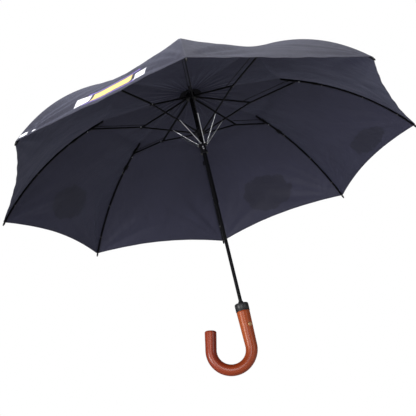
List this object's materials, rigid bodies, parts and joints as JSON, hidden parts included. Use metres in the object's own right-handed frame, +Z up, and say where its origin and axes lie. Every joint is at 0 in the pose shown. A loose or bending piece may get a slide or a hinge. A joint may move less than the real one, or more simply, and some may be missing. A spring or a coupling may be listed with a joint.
{
  "type": "folding umbrella",
  "caption": "Open folding umbrella with a crook handle: cloth canopy on double-jointed steel ribs, runners and a telescoping shaft",
  "frame": {"origin": "on the shaft's axis, at the top face of the handle's collar", "axes": "+Z up the shaft to the crown, +X along spoke 1, and the crook's free end on the -X side"},
  "size_m": [1.0074, 1.0074, 0.722],
  "materials": {
    "handle_wood": "reddish brown stain under gloss lacquer",
    "collar_plastic": "satin black moulded plastic",
    "button_brass": "worn satin",
    "tube_steel": "gloss black",
    "hub_plastic": "black moulded plastic",
    "rib_steel": "black enamel on rolled channel",
    "strut_steel": "bright nickel wire",
    "spring_steel": "drawn spring wire",
    "canopy_fabric": "fine woven navy-black polyester, slightly grey outside"
  },
  "bodies": {
    "handle": {"crook_handle": "handle_wood", "handle_collar": "collar_plastic", "lower_tube": "tube_steel", "button_spring": "spring_steel", "main_spring": "spring_steel"},
    "button": {"release_button": "button_brass"},
    "upper_shaft": {"upper_tube": "tube_steel", "crown_notch": "hub_plastic", "ferrule": "hub_plastic", "canopy_centre": "canopy_fabric"},
    "runner": {"runner": "hub_plastic"},
    "lower_runner": {"lower_runner": "hub_plastic"},
    "top_rib_1": {"top_rib_1": "rib_steel"},
    "stretcher_1": {"stretcher_1": "rib_steel"},
    "outer_rib_1": {"outer_rib_1": "rib_steel", "canopy_panel_1": "canopy_fabric"},
    "tie_rod_1": {"tie_rod_1": "rib_steel"},
    "strut_1": {"strut_1": "strut_steel"},
    "top_rib_2": {"top_rib_2": "rib_steel"},
    "stretcher_2": {"stretcher_2": "rib_steel"},
    "outer_rib_2": {"outer_rib_2": "rib_steel", "canopy_panel_2": "canopy_fabric"},
    "tie_rod_2": {"tie_rod_2": "rib_steel"},
    "strut_2": {"strut_2": "strut_steel"},
    "top_rib_3": {"top_rib_3": "rib_steel"},
    "stretcher_3": {"stretcher_3": "rib_steel"},
    "outer_rib_3": {"outer_rib_3": "rib_steel", "canopy_panel_3": "canopy_fabric"},
    "tie_rod_3": {"tie_rod_3": "rib_steel"},
    "strut_3": {"strut_3": "strut_steel"},
    "top_rib_4": {"top_rib_4": "rib_steel"},
    "stretcher_4": {"stretcher_4": "rib_steel"},
    "outer_rib_4": {"outer_rib_4": "rib_steel", "canopy_panel_4": "canopy_fabric"},
    "tie_rod_4": {"tie_rod_4": "rib_steel"},
    "strut_4": {"strut_4": "strut_steel"},
    "top_rib_5": {"top_rib_5": "rib_steel"},
    "stretcher_5": {"stretcher_5": "rib_steel"},
    "outer_rib_5": {"outer_rib_5": "rib_steel", "canopy_panel_5": "canopy_fabric"},
    "tie_rod_5": {"tie_rod_5": "rib_steel"},
    "strut_5": {"strut_5": "strut_steel"},
    "top_rib_6": {"top_rib_6": "rib_steel"},
    "stretcher_6": {"stretcher_6": "rib_steel"},
    "outer_rib_6": {"outer_rib_6": "rib_steel", "canopy_panel_6": "canopy_fabric"},
    "tie_rod_6": {"tie_rod_6": "rib_steel"},
    "strut_6": {"strut_6": "strut_steel"},
    "top_rib_7": {"top_rib_7": "rib_steel"},
    "stretcher_7": {"stretcher_7": "rib_steel"},
    "outer_rib_7": {"outer_rib_7": "rib_steel", "canopy_panel_7": "canopy_fabric"},
    "tie_rod_7": {"tie_rod_7": "rib_steel"},
    "strut_7": {"strut_7": "strut_steel"},
    "top_rib_8": {"top_rib_8": "rib_steel"},
    "stretcher_8": {"stretcher_8": "rib_steel"},
    "outer_rib_8": {"outer_rib_8": "rib_steel", "canopy_panel_8": "canopy_fabric"},
    "tie_rod_8": {"tie_rod_8": "rib_steel"},
    "strut_8": {"strut_8": "strut_steel"}
  },
  "joints": [
    {"name": "telescope", "type": "slide", "parent": "handle", "child": "upper_shaft", "axis": [0, 0, -1], "range_m": [0, 0.19], "stiffness_N_per_m": 30, "springref_m": -0.4, "deforming": ["main_spring"]},
    {"name": "button_press", "type": "slide", "parent": "handle", "child": "button", "axis": [-0.5736, 0.8192, 0], "range_m": [0, 0.003], "stiffness_N_per_m": 600, "springref_m": -0.003, "deforming": ["button_spring"]},
    {"name": "fold", "type": "hinge", "parent": "upper_shaft", "child": "top_rib_1", "pos_m": [0.0095, 0, 0.535], "axis": [0, 1, 0], "range_deg": [0, 59.5], "stiffness_Nm_per_rad": 1.2, "springref_deg": -85.94, "deforming": ["canopy_centre", "canopy_panel_1", "canopy_panel_2", "canopy_panel_3", "canopy_panel_4", "canopy_panel_5", "canopy_panel_6", "canopy_panel_7", "canopy_panel_8"]},
    {"name": "top_rib_2_hinge", "type": "hinge", "parent": "upper_shaft", "child": "top_rib_2", "pos_m": [0.00672, 0.00672, 0.535], "axis": [-0.7071, 0.7071, 0], "range_deg": [0, 59.6]},
    {"name": "top_rib_3_hinge", "type": "hinge", "parent": "upper_shaft", "child": "top_rib_3", "pos_m": [0, 0.0095, 0.535], "axis": [-1, 0, 0], "range_deg": [0, 59.6]},
    {"name": "top_rib_4_hinge", "type": "hinge", "parent": "upper_shaft", "child": "top_rib_4", "pos_m": [-0.00672, 0.00672, 0.535], "axis": [-0.7071, -0.7071, 0], "range_deg": [0, 59.6]},
    {"name": "top_rib_5_hinge", "type": "hinge", "parent": "upper_shaft", "child": "top_rib_5", "pos_m": [-0.0095, 0, 0.535], "axis": [0, -1, 0], "range_deg": [0, 59.6]},
    {"name": "top_rib_6_hinge", "type": "hinge", "parent": "upper_shaft", "child": "top_rib_6", "pos_m": [-0.00672, -0.00672, 0.535], "axis": [0.7071, -0.7071, 0], "range_deg": [0, 59.6]},
    {"name": "top_rib_7_hinge", "type": "hinge", "parent": "upper_shaft", "child": "top_rib_7", "pos_m": [0, -0.0095, 0.535], "axis": [1, 0, 0], "range_deg": [0, 59.6]},
    {"name": "top_rib_8_hinge", "type": "hinge", "parent": "upper_shaft", "child": "top_rib_8", "pos_m": [0.00672, -0.00672, 0.535], "axis": [0.7071, 0.7071, 0], "range_deg": [0, 59.6]},
    {"name": "stretcher_1_hinge", "type": "hinge", "parent": "top_rib_1", "child": "stretcher_1", "pos_m": [0.1355, 0, 0.485], "axis": [0, 1, 0], "range_deg": [-119.1, 0]},
    {"name": "outer_rib_1_hinge", "type": "hinge", "parent": "stretcher_1", "child": "outer_rib_1", "pos_m": [0.2555, 0, 0.512], "axis": [0, 1, 0], "range_deg": [0, 119.1]},
    {"name": "tie_rod_1_hinge", "type": "hinge", "parent": "top_rib_1", "child": "tie_rod_1", "pos_m": [0.12063, 0, 0.4909], "axis": [0, 1, 0], "range_deg": [-119.1, 0]},
    {"name": "strut_1_hinge", "type": "hinge", "parent": "stretcher_1", "child": "strut_1", "pos_m": [0.06062, 0, 0.45529], "axis": [0, 1, 0], "range_deg": [0, 22.29]},
    {"name": "stretcher_2_hinge", "type": "hinge", "parent": "top_rib_2", "child": "stretcher_2", "pos_m": [0.09581, 0.09581, 0.485], "axis": [-0.7071, 0.7071, 0], "range_deg": [-119.1, 0]},
    {"name": "outer_rib_2_hinge", "type": "hinge", "parent": "stretcher_2", "child": "outer_rib_2", "pos_m": [0.18067, 0.18067, 0.512], "axis": [-0.7071, 0.7071, 0], "range_deg": [0, 119.1]},
    {"name": "tie_rod_2_hinge", "type": "hinge", "parent": "top_rib_2", "child": "tie_rod_2", "pos_m": [0.0853, 0.0853, 0.4909], "axis": [-0.7071, 0.7071, 0], "range_deg": [-119.1, 0]},
    {"name": "strut_2_hinge", "type": "hinge", "parent": "stretcher_2", "child": "strut_2", "pos_m": [0.04287, 0.04287, 0.45529], "axis": [-0.7071, 0.7071, 0], "range_deg": [0, 22.29]},
    {"name": "stretcher_3_hinge", "type": "hinge", "parent": "top_rib_3", "child": "stretcher_3", "pos_m": [0, 0.1355, 0.485], "axis": [-1, 0, 0], "range_deg": [-119.1, 0]},
    {"name": "outer_rib_3_hinge", "type": "hinge", "parent": "stretcher_3", "child": "outer_rib_3", "pos_m": [0, 0.2555, 0.512], "axis": [-1, 0, 0], "range_deg": [0, 119.1]},
    {"name": "tie_rod_3_hinge", "type": "hinge", "parent": "top_rib_3", "child": "tie_rod_3", "pos_m": [0, 0.12063, 0.4909], "axis": [-1, 0, 0], "range_deg": [-119.1, 0]},
    {"name": "strut_3_hinge", "type": "hinge", "parent": "stretcher_3", "child": "strut_3", "pos_m": [0, 0.06062, 0.45529], "axis": [-1, 0, 0], "range_deg": [0, 22.29]},
    {"name": "stretcher_4_hinge", "type": "hinge", "parent": "top_rib_4", "child": "stretcher_4", "pos_m": [-0.09581, 0.09581, 0.485], "axis": [-0.7071, -0.7071, 0], "range_deg": [-119.1, 0]},
    {"name": "outer_rib_4_hinge", "type": "hinge", "parent": "stretcher_4", "child": "outer_rib_4", "pos_m": [-0.18067, 0.18067, 0.512], "axis": [-0.7071, -0.7071, 0], "range_deg": [0, 119.1]},
    {"name": "tie_rod_4_hinge", "type": "hinge", "parent": "top_rib_4", "child": "tie_rod_4", "pos_m": [-0.0853, 0.0853, 0.4909], "axis": [-0.7071, -0.7071, 0], "range_deg": [-119.1, 0]},
    {"name": "strut_4_hinge", "type": "hinge", "parent": "stretcher_4", "child": "strut_4", "pos_m": [-0.04287, 0.04287, 0.45529], "axis": [-0.7071, -0.7071, 0], "range_deg": [0, 22.29]},
    {"name": "stretcher_5_hinge", "type": "hinge", "parent": "top_rib_5", "child": "stretcher_5", "pos_m": [-0.1355, 0, 0.485], "axis": [0, -1, 0], "range_deg": [-119.1, 0]},
    {"name": "outer_rib_5_hinge", "type": "hinge", "parent": "stretcher_5", "child": "outer_rib_5", "pos_m": [-0.2555, 0, 0.512], "axis": [0, -1, 0], "range_deg": [0, 119.1]},
    {"name": "tie_rod_5_hinge", "type": "hinge", "parent": "top_rib_5", "child": "tie_rod_5", "pos_m": [-0.12063, 0, 0.4909], "axis": [0, -1, 0], "range_deg": [-119.1, 0]},
    {"name": "strut_5_hinge", "type": "hinge", "parent": "stretcher_5", "child": "strut_5", "pos_m": [-0.06062, 0, 0.45529], "axis": [0, -1, 0], "range_deg": [0, 22.29]},
    {"name": "stretcher_6_hinge", "type": "hinge", "parent": "top_rib_6", "child": "stretcher_6", "pos_m": [-0.09581, -0.09581, 0.485], "axis": [0.7071, -0.7071, 0], "range_deg": [-119.1, 0]},
    {"name": "outer_rib_6_hinge", "type": "hinge", "parent": "stretcher_6", "child": "outer_rib_6", "pos_m": [-0.18067, -0.18067, 0.512], "axis": [0.7071, -0.7071, 0], "range_deg": [0, 119.1]},
    {"name": "tie_rod_6_hinge", "type": "hinge", "parent": "top_rib_6", "child": "tie_rod_6", "pos_m": [-0.0853, -0.0853, 0.4909], "axis": [0.7071, -0.7071, 0], "range_deg": [-119.1, 0]},
    {"name": "strut_6_hinge", "type": "hinge", "parent": "stretcher_6", "child": "strut_6", "pos_m": [-0.04287, -0.04287, 0.45529], "axis": [0.7071, -0.7071, 0], "range_deg": [0, 22.29]},
    {"name": "stretcher_7_hinge", "type": "hinge", "parent": "top_rib_7", "child": "stretcher_7", "pos_m": [0, -0.1355, 0.485], "axis": [1, 0, 0], "range_deg": [-119.1, 0]},
    {"name": "outer_rib_7_hinge", "type": "hinge", "parent": "stretcher_7", "child": "outer_rib_7", "pos_m": [0, -0.2555, 0.512], "axis": [1, 0, 0], "range_deg": [0, 119.1]},
    {"name": "tie_rod_7_hinge", "type": "hinge", "parent": "top_rib_7", "child": "tie_rod_7", "pos_m": [0, -0.12063, 0.4909], "axis": [1, 0, 0], "range_deg": [-119.1, 0]},
    {"name": "strut_7_hinge", "type": "hinge", "parent": "stretcher_7", "child": "strut_7", "pos_m": [0, -0.06062, 0.45529], "axis": [1, 0, 0], "range_deg": [0, 22.29]},
    {"name": "stretcher_8_hinge", "type": "hinge", "parent": "top_rib_8", "child": "stretcher_8", "pos_m": [0.09581, -0.09581, 0.485], "axis": [0.7071, 0.7071, 0], "range_deg": [-119.1, 0]},
    {"name": "outer_rib_8_hinge", "type": "hinge", "parent": "stretcher_8", "child": "outer_rib_8", "pos_m": [0.18067, -0.18067, 0.512], "axis": [0.7071, 0.7071, 0], "range_deg": [0, 119.1]},
    {"name": "tie_rod_8_hinge", "type": "hinge", "parent": "top_rib_8", "child": "tie_rod_8", "pos_m": [0.0853, -0.0853, 0.4909], "axis": [0.7071, 0.7071, 0], "range_deg": [-119.1, 0]},
    {"name": "strut_8_hinge", "type": "hinge", "parent": "stretcher_8", "child": "strut_8", "pos_m": [0.04287, -0.04287, 0.45529], "axis": [0.7071, 0.7071, 0], "range_deg": [0, 22.29]},
    {"name": "runner_hinge", "type": "hinge", "parent": "stretcher_1", "child": "runner", "pos_m": [0.0095, 0, 0.435], "axis": [0, 1, 0], "range_deg": [0, 59.6]},
    {"name": "lower_runner_slide", "type": "slide", "parent": "runner", "child": "lower_runner", "axis": [0, 0, 1], "range_m": [0, 0.01448]}
  ],
  "couplings": [
    {"joint": "top_rib_2_hinge", "follows": "fold", "ratio": 1},
    {"joint": "top_rib_3_hinge", "follows": "fold", "ratio": 1},
    {"joint": "top_rib_4_hinge", "follows": "fold", "ratio": 1},
    {"joint": "top_rib_5_hinge", "follows": "fold", "ratio": 1},
    {"joint": "top_rib_6_hinge", "follows": "fold", "ratio": 1},
    {"joint": "top_rib_7_hinge", "follows": "fold", "ratio": 1},
    {"joint": "top_rib_8_hinge", "follows": "fold", "ratio": 1},
    {"joint": "stretcher_1_hinge", "follows": "fold", "ratio": -2},
    {"joint": "outer_rib_1_hinge", "follows": "fold", "ratio": 2},
    {"joint": "tie_rod_1_hinge", "follows": "fold", "ratio": -2},
    {"joint": "strut_1_hinge", "follows": "fold", "ratio": 0.37297},
    {"joint": "stretcher_2_hinge", "follows": "fold", "ratio": -2},
    {"joint": "outer_rib_2_hinge", "follows": "fold", "ratio": 2},
    {"joint": "tie_rod_2_hinge", "follows": "fold", "ratio": -2},
    {"joint": "strut_2_hinge", "follows": "fold", "ratio": 0.37297},
    {"joint": "stretcher_3_hinge", "follows": "fold", "ratio": -2},
    {"joint": "outer_rib_3_hinge", "follows": "fold", "ratio": 2},
    {"joint": "tie_rod_3_hinge", "follows": "fold", "ratio": -2},
    {"joint": "strut_3_hinge", "follows": "fold", "ratio": 0.37297},
    {"joint": "stretcher_4_hinge", "follows": "fold", "ratio": -2},
    {"joint": "outer_rib_4_hinge", "follows": "fold", "ratio": 2},
    {"joint": "tie_rod_4_hinge", "follows": "fold", "ratio": -2},
    {"joint": "strut_4_hinge", "follows": "fold", "ratio": 0.37297},
    {"joint": "stretcher_5_hinge", "follows": "fold", "ratio": -2},
    {"joint": "outer_rib_5_hinge", "follows": "fold", "ratio": 2},
    {"joint": "tie_rod_5_hinge", "follows": "fold", "ratio": -2},
    {"joint": "strut_5_hinge", "follows": "fold", "ratio": 0.37297},
    {"joint": "stretcher_6_hinge", "follows": "fold", "ratio": -2},
    {"joint": "outer_rib_6_hinge", "follows": "fold", "ratio": 2},
    {"joint": "tie_rod_6_hinge", "follows": "fold", "ratio": -2},
    {"joint": "strut_6_hinge", "follows": "fold", "ratio": 0.37297},
    {"joint": "stretcher_7_hinge", "follows": "fold", "ratio": -2},
    {"joint": "outer_rib_7_hinge", "follows": "fold", "ratio": 2},
    {"joint": "tie_rod_7_hinge", "follows": "fold", "ratio": -2},
    {"joint": "strut_7_hinge", "follows": "fold", "ratio": 0.37297},
    {"joint": "stretcher_8_hinge", "follows": "fold", "ratio": -2},
    {"joint": "outer_rib_8_hinge", "follows": "fold", "ratio": 2},
    {"joint": "tie_rod_8_hinge", "follows": "fold", "ratio": -2},
    {"joint": "strut_8_hinge", "follows": "fold", "ratio": 0.37297},
    {"joint": "runner_hinge", "follows": "fold", "ratio": 1},
    {"joint": "lower_runner_slide", "follows": "fold", "m_per_rad": 0.01375}
  ]
}
